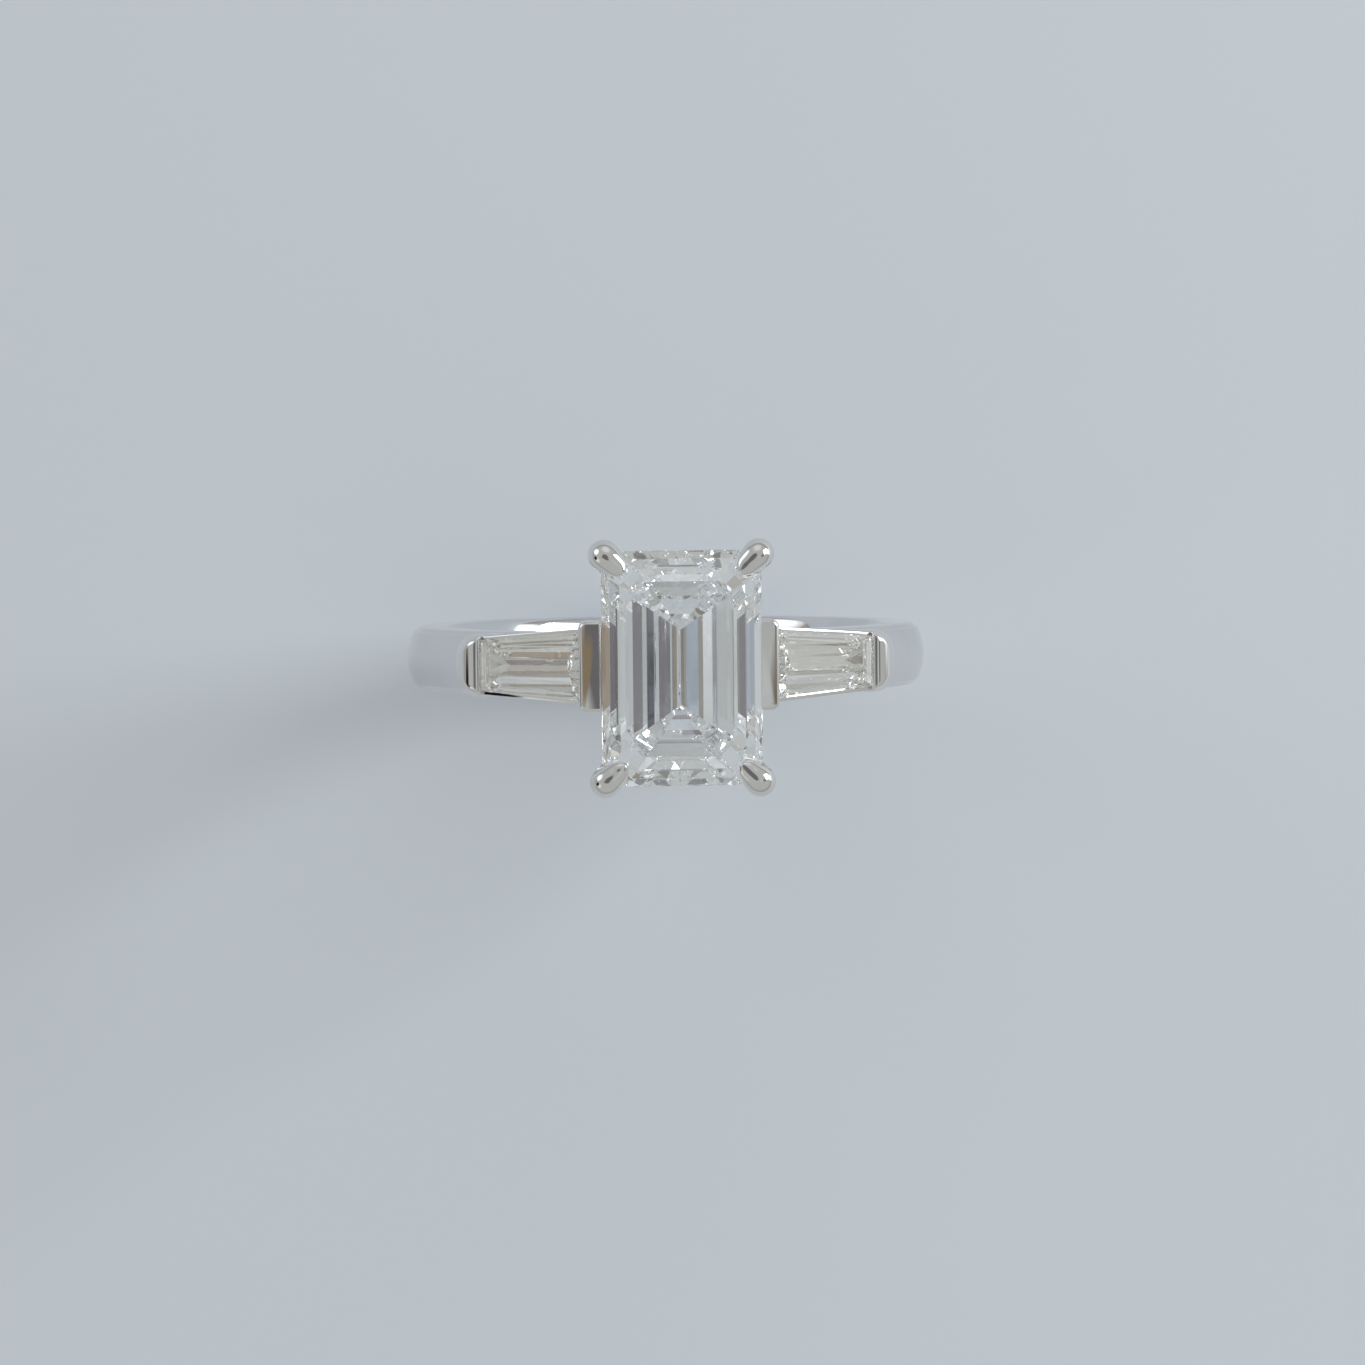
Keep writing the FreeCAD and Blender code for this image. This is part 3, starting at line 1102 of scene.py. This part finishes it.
@dataclass
class Head:
    """The basket: two gallery rails and four claws."""

    finishes: Finishes
    stone: CentreStone
    rail_bevel: float = 0.07
    rail_wall: float = 0.41
    lower_rail_legs: tuple[float, float] = (0.5, 0.27)
    upper_rail_legs: tuple[float, float] = (0.74, 0.57)
    claw: ClawShape = field(default_factory=ClawShape)

    def rail(self, node: str, legs: tuple[float, float]) -> None:
        """Builds a gallery rail between the heights of its node.

        Args:
            node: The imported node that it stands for.
            legs: Legs of the cut corners, outside and in the opening.
        """
        outer_leg, inner_leg = legs
        low, high = node_box(node)
        rings = []
        for shrink, leg, z in (
            (0.0, outer_leg, low.z),
            (0.0, outer_leg, high.z),
            (self.rail_wall, inner_leg, high.z),
            (self.rail_wall, inner_leg, low.z),
        ):
            rings.append(octagon(high.x - shrink, high.y - shrink, leg, z))
        bm = loft([*rings, rings[0]], caps=False)
        piece = to_object(node + "_bar", bm)
        bevel(piece, self.rail_bevel)
        shade(piece, smooth=True)
        finish_piece(piece, [node], [self.finishes.setting])

    def ring(
        self, centre: Vector, along: Vector, reach_along: float, reach_across: float
    ) -> Outline:
        """Draws one outline of the claw, as an ellipse.

        Args:
            centre: Its centre.
            along: Direction of its first axis, square to the second.
            reach_along: Half of its first axis.
            reach_across: Half of its second axis, which runs across the stone's corner.

        Returns:
            Its points.
        """
        across = Vector((-1.0, 1.0, 0.0)).normalized()
        points = []
        for i in range(self.claw.points):
            angle = 2 * math.pi * i / self.claw.points
            step = along * (reach_along * math.cos(angle))
            points.append(centre + step + across * (reach_across * math.sin(angle)))
        return points

    def claw_rings(self) -> list[Outline]:
        """Draws the claw at +X, +Y.

        Returns:
            Its outlines, from its foot to its talon's tip.
        """
        shape, stone = self.claw, self.stone
        rail_low, rail_high = node_box("lower_gallery_rail")
        _, reach = node_box("claw_back_right")
        inset = Vector((shape.foot_inset, shape.foot_inset))
        foot = (rail_high.xy - inset).to_3d()
        foot.z = (rail_low.z + rail_high.z) / 2
        knuckle = Vector((reach.x - shape.knuckle_inset, reach.y - shape.knuckle_inset, 0.0))
        knuckle.z = stone.girdle_top + shape.knuckle_rise
        lean = (knuckle - foot) / (knuckle.z - foot.z)

        out = Vector((1.0, 1.0, 0.0)).normalized()
        middle_z = (stone.girdle_top + stone.girdle_low) / 2
        back = stone.corner / 2
        pivot = Vector((stone.half_x - back, stone.half_y - back, middle_z))
        pivot -= out * shape.pivot_inset

        rings = []
        for height, radius in shape.leg:
            centre = foot + lean * (rail_low.z + height - foot.z)
            rings.append(self.ring(centre, out, radius * shape.lean_stretch, radius))
        # the bend: outlines fan about the stone's corner, from the leg to the talon
        drift = lean - UP - out * (lean - UP).dot(out)
        for degrees, far, width in shape.bend:
            angle = math.radians(degrees)
            along = out * math.cos(angle) + UP * math.sin(angle)
            side = drift * (pivot.z - knuckle.z) * math.cos(angle)
            centre = pivot + along * (far - shape.heel) / 2 + side
            rings.append(self.ring(centre, along, (far + shape.heel) / 2, width))
        # the talon: outlines stand upright and shrink towards the table
        for inward, base, top, width in shape.talon:
            centre = pivot - out * inward + UP * (base + top) / 2
            rings.append(self.ring(centre, UP, (top - base) / 2, width))
        return rings

    def build_claw(self, side: Side, end: End) -> None:
        """Builds the claw on one corner.

        Args:
            side: The shoulder that it's nearer to.
            end: The end of the finger hole that it's nearer to.
        """
        node = f"claw_{end.name.lower()}_{side.prefix}"
        piece = to_object(node + "_talon", loft(self.claw_rings()))
        subdivide(piece, self.claw.smoothing)
        carve(piece, [self.stone.solid(STONE_SEAT_GAP)])
        flip = Matrix.Diagonal((side.value, end.value, 1.0, 1.0))
        piece.data.transform(flip)
        if side.value * end.value < 0:
            piece.data.flip_normals()
        shade(piece, smooth=True)
        finish_piece(piece, [node], [self.finishes.setting])

    def build(self) -> None:
        """Builds both rails and all four claws."""
        self.rail("lower_gallery_rail", self.lower_rail_legs)
        self.rail("upper_gallery_rail", self.upper_rail_legs)
        for side in Side:
            for end in End:
                self.build_claw(side, end)


@dataclass
class Shoulder:
    """One shoulder: a baguette, its inner and outer bars and its two side rails."""

    finishes: Finishes
    side: Side
    shank: Shank
    stone: Baguette = field(default_factory=Baguette)
    lift: float = 1.25
    bite: float = 0.12
    foot_inset: float = 0.03
    inner_bar_round: float = 0.13
    inner_bar_round_points: int = 6
    inner_bar_near_corner: float = 0.15
    inner_bar_far_corner: float = 0.30
    inner_bar_slope: float = 0.19
    inner_bar_shoulder: float = 1.0
    outer_bar_thickness: float = 1.34
    outer_bar_rise: float = 0.38
    outer_bar_crown: float = 0.98
    outer_bar_crown_points: int = 16
    outer_bar_inner_round: float = 0.28
    outer_bar_end_round: float = 0.42
    outer_bar_near_corner: float = 0.06
    outer_bar_far_corner: float = 0.86
    outer_bar_foot_corner: float = 0.6
    outer_bar_flat: float = 0.07  # kept straight between its near and far corners
    outer_bar_taper: float = 0.35
    rail_overrun: float = 0.02  # past the face of the outer bar
    rail_lip: float = 0.12
    rail_shelf: float = 0.22
    rail_depth: float = 0.62
    rail_top: float = 0.07
    rail_bevel: float = 0.03

    def __post_init__(self) -> None:
        """Lays the baguette square to the band's radius at its mid length."""
        low, high = node_box("right_inner_bar")
        self.bar_low, self.bar_high = low, high
        radius = self.shank.radius + self.lift
        inner_x = high.x - self.bite
        reach = math.hypot(radius, self.stone.half)
        self.tilt = math.asin(inner_x / reach) + math.atan2(self.stone.half, radius)
        centre = Vector((radius * math.sin(self.tilt), 0, radius * math.cos(self.tilt)))
        self.seat = Matrix.Translation(centre) @ Matrix.Rotation(self.tilt, 4, "Y")
        self.foot_half = self.shank.half_width - self.foot_inset

    def node(self, name: str) -> str:
        """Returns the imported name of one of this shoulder's nodes."""
        return f"{self.side.prefix}_{name}"

    def cutter(self) -> bmesh.types.BMesh:
        """Builds the baguette, slightly grown, in the right shoulder's place.

        Returns:
            The closed solid.
        """
        bm = self.stone.solid(STONE_SEAT_GAP)
        bm.transform(self.seat)
        return bm

    def complete(
        self,
        piece: bpy.types.Object,
        node: str,
        materials: Sequence[bpy.types.Material],
    ) -> None:
        """Puts a right shoulder's piece on this shoulder and finishes it.

        Args:
            piece: The piece, in millimetres.
            node: Name of its node, without the shoulder's.
            materials: Its materials.
        """
        if self.side is Side.LEFT:
            piece.data.transform(Matrix.Diagonal((-1.0, 1.0, 1.0, 1.0)))
            piece.data.flip_normals()
        finish_piece(piece, [self.node(node)], materials)

    def build_stone(self) -> None:
        """Builds the baguette."""
        piece = to_object(self.node("baguette"), self.stone.solid())
        mark_girdle(piece)
        piece.data.transform(self.seat)
        shade(piece, smooth=False)
        materials = [self.finishes.side_stone, self.finishes.girdle]
        self.complete(piece, "baguette_diamond", materials)

    def build_inner_bar(self) -> None:
        """Builds the upright plate that holds the wide end."""
        low, high = self.bar_low, self.bar_high
        middle = (low.x + high.x) / 2
        landing = math.sqrt(self.shank.radius**2 - middle**2)
        sides = [
            (0.0, low.z, self.foot_half),
            (0.0, landing, self.foot_half),
            (0.0, high.z - self.inner_bar_shoulder, high.y),
        ]
        edge = self.inner_bar_round
        top = arc((edge, high.z - edge), edge, 180, 90, self.inner_bar_round_points)
        rows = []
        for inset, z, half in sides + [(inset, z, high.y) for inset, z in top]:
            near, far = low.x + inset, high.x - inset
            near_corner = self.inner_bar_near_corner - inset
            far_corner = self.inner_bar_far_corner - inset
            rows.append(rounded_plan(near, far, half - inset, near_corner, far_corner, z))
        for row in rows[len(sides) :]:
            for point in row:
                point.z -= self.inner_bar_slope * (point.x - low.x)
        piece = to_object(self.node("inner_bar_plate"), loft(rows))
        carve(piece, [self.cutter()])
        shade(piece, smooth=True)
        self.complete(piece, "inner_bar", [self.finishes.setting])

    def build_outer_bar(self) -> None:
        """Builds the rounded end bar that holds the narrow end."""
        inner = self.stone.half - self.bite
        outer = inner + self.outer_bar_thickness
        sagitta = outer**2 / (2 * self.shank.radius)
        foot = -(self.lift + self.shank.dome + self.shank.outer_round + sagitta)
        rise, big = self.outer_bar_rise, self.outer_bar_crown
        edge = self.outer_bar_near_corner
        foot_x = outer - self.outer_bar_taper
        corner = self.outer_bar_foot_corner
        rows = [rounded_plan(inner, foot_x, self.foot_half, edge, corner, foot)]
        for far, z in arc((outer - big, rise - big), big, 0, 90, self.outer_bar_crown_points):
            near = inner + roll(z, rise, self.outer_bar_inner_round)
            half = self.foot_half - roll(z, rise, self.outer_bar_end_round)
            corner = min(self.outer_bar_far_corner, far - near - self.outer_bar_flat)
            rows.append(rounded_plan(near, far, half, edge, corner, z))
        bm = loft(rows)
        bm.transform(self.seat)
        piece = to_object(self.node("outer_bar_end"), bm)
        carve(piece, [self.cutter()])
        shade(piece, smooth=True)
        self.complete(piece, "outer_bar", [self.finishes.setting])

    def build_side_rail(self, end: End) -> None:
        """Builds the thin rail along one long edge of the baguette.

        Args:
            end: The end of the finger hole that it's nearer to.
        """
        stone = self.stone
        rows = []
        for along in (-stone.half, stone.half - self.bite + self.rail_overrun):
            inner = stone.half_width(along) - self.rail_shelf
            outer = stone.half_width(along) + self.rail_lip
            corners = [
                (inner, -self.rail_depth),
                (outer, -self.rail_depth),
                (outer, self.rail_top),
                (inner, self.rail_top),
            ]
            rows.append([Vector((along, end.value * y, z)) for y, z in corners])
        bm = loft(rows)
        bm.transform(self.seat)
        name = f"side_rail_{end.name.lower()}"
        piece = to_object(self.node(name + "_strip"), bm)
        bevel(piece, self.rail_bevel)
        carve(piece, [self.cutter()])
        shade(piece, smooth=True)
        self.complete(piece, name, [self.finishes.setting])

    def build(self) -> None:
        """Builds everything on this shoulder."""
        self.build_stone()
        self.build_inner_bar()
        self.build_outer_bar()
        for end in End:
            self.build_side_rail(end)


# -------------------------------------------------------------------------------- stage


@dataclass(frozen=True)
class Patch:
    """A soft round patch of the surrounding light.

    Attributes:
        toward: Direction of its middle.
        core: Angle from the middle within which it has its full colour, in degrees.
        reach: Angle at which it has faded out, in degrees.
        colour: Its colour, as light.
    """

    toward: tuple[float, float, float]
    core: float
    reach: float
    colour: tuple[float, float, float]


@dataclass
class Studio:
    """Pale floor, soft light and the camera."""

    horizon: tuple[float, float, float] = (0.37, 0.335, 0.30)
    zenith: tuple[float, float, float] = (0.47, 0.49, 0.485)
    horizon_haze: tuple[float, float] = (0.02, 0.32)
    patches: tuple[Patch, ...] = (
        Patch((0.05, 0.78, 0.55), 12.0, 28.0, (0.72, 0.75, 0.79)),
        Patch((-0.80, 0.42, 0.30), 9.0, 20.0, (1.50, 1.58, 1.70)),
        Patch((0.97, 0.22, 0.08), 9.0, 17.0, (1.60, 1.66, 1.75)),
        Patch((-0.75, -0.35, 0.40), 6.0, 16.0, (0.80, 0.80, 0.74)),
        Patch((-0.93, -0.18, 0.30), 8.0, 11.5, (0.010, 0.006, 0.018)),
        Patch((-0.15, 0.05, 0.985), 14.0, 18.0, (0.155, 0.147, 0.158)),
        Patch((-0.40, -0.04, 0.92), 4.0, 8.0, (0.25, 0.195, 0.13)),
        Patch((0.62, -0.06, 0.78), 5.0, 10.0, (0.17, 0.145, 0.10)),
        Patch((0.10, -0.05, 0.99), 2.0, 4.5, (0.34, 0.38, 0.44)),
        Patch((0.37, -0.10, 0.93), 6.0, 11.0, (0.52, 0.545, 0.54)),
    )
    window_place: tuple[float, float, float] = (328.0, 128.0, 188.0)
    window_side: float = 190.0
    window_watts: float = 0.5
    window_tint: tuple[float, float, float] = (0.93, 0.97, 1.0)
    floor_tint: tuple[float, float, float] = (0.82, 0.86, 0.91)
    floor_roughness: float = 0.85
    floor_radius: float = 900.0
    floor_segments: int = 96
    light_bounces: int = 256
    sensor_width: float = 36.0
    clip_start: float = 5.0
    clip_end: float = 5000.0
    view_distance: float = 260.0
    view_width: float = 53.17
    toward: tuple[float, float, float] = (-0.047, 0.043, 0.998)
    upward: tuple[float, float, float] = (0.012, 0.998, -0.044)
    aim_right: float = 0.654
    aim_up: float = -1.10

    def build_floor(self) -> None:
        """Lays the floor under the ring."""
        bm = bmesh.new()
        bmesh.ops.create_circle(
            bm, cap_ends=True, segments=self.floor_segments, radius=self.floor_radius
        )
        floor = to_object("floor", bm)
        floor.data.transform(Matrix.Scale(MM, 4))
        floor.location.z = CAD_BOX[0].z
        made = bpy.data.materials.new("pale_floor")
        made.use_nodes = True
        nodes = Nodes(made.node_tree)
        surface = nodes.add(
            "ShaderNodeBsdfPrincipled",
            Base_Color=(*self.floor_tint, 1.0),
            Roughness=self.floor_roughness,
        )
        nodes.add("ShaderNodeOutputMaterial", Surface=surface.outputs[0])
        floor.data.materials.append(made)

    def build_world(self) -> None:
        """Makes the soft surrounding light: a pale sky with a few broad patches in it."""
        world = bpy.data.worlds.new("studio")
        bpy.context.scene.world = world
        world.use_nodes = True
        nodes = Nodes(world.node_tree)
        where = nodes.add("ShaderNodeTexCoord").outputs["Generated"]
        height = nodes.add("ShaderNodeSeparateXYZ", Vector=where)
        rise = nodes.map_range(height.outputs["Z"], *self.horizon_haze, 0.0, 1.0)
        colour = nodes.mix(rise, (*self.horizon, 1.0), (*self.zenith, 1.0))
        for patch in self.patches:
            dot = nodes.add("ShaderNodeVectorMath")
            dot.operation = "DOT_PRODUCT"
            nodes.tree.links.new(where, dot.inputs[0])
            dot.inputs[1].default_value = Vector(patch.toward).normalized()
            edge = math.cos(math.radians(patch.reach))
            core = math.cos(math.radians(patch.core))
            share = nodes.map_range(dot.outputs["Value"], edge, core, 0.0, 1.0)
            colour = nodes.mix(share, colour, (*patch.colour, 1.0))
        background = nodes.add("ShaderNodeBackground", Color=colour)
        nodes.add("ShaderNodeOutputWorld", Surface=background.outputs[0])

    def build_window(self) -> None:
        """Hangs a square soft box aimed at the head."""
        data = bpy.data.lights.new("window", "AREA")
        data.shape = "SQUARE"
        data.size = self.window_side * MM
        data.energy = self.window_watts
        data.color = self.window_tint
        made = bpy.data.objects.new("window", data)
        place = Vector(self.window_place)
        made.location = place * MM
        made.rotation_euler = place.to_track_quat("Z", "Y").to_euler()
        bpy.context.scene.collection.objects.link(made)

    def build_camera(self) -> None:
        """Sets the camera above the head, a little off the ring's axis."""
        toward = Vector(self.toward).normalized()
        right = Vector(self.upward).cross(toward).normalized()
        up = toward.cross(right)
        aim = right * self.aim_right + up * self.aim_up
        data = bpy.data.cameras.new("camera")
        data.sensor_width = self.sensor_width
        data.lens = data.sensor_width * self.view_distance / self.view_width
        data.clip_start = self.clip_start * MM
        data.clip_end = self.clip_end * MM
        camera = bpy.data.objects.new("camera", data)
        place = Matrix((right, up, toward)).transposed().to_4x4()
        place.translation = (aim + toward * self.view_distance) * MM
        camera.matrix_world = place
        bpy.context.scene.collection.objects.link(camera)
        bpy.context.scene.camera = camera

    def build(self) -> None:
        """Builds the floor, the lights and the camera."""
        self.build_floor()
        self.build_world()
        self.build_window()
        self.build_camera()
        scene = bpy.context.scene
        scene.view_settings.view_transform = "Standard"
        scene.cycles.max_bounces = self.light_bounces
        scene.cycles.transmission_bounces = self.light_bounces
        scene.cycles.glossy_bounces = self.light_bounces


def main() -> None:
    """Builds the ring and the studio."""
    logging.basicConfig(level=logging.INFO, format="%(name)s: %(message)s")
    finishes = Finishes()
    Studio().build()
    shank = Shank(finishes)
    shank.build()
    stone = CentreStone(finishes)
    stone.build()
    Head(finishes, stone).build()
    for side in Side:
        Shoulder(finishes, side, shank).build()


if __name__ == "__main__":
    main()
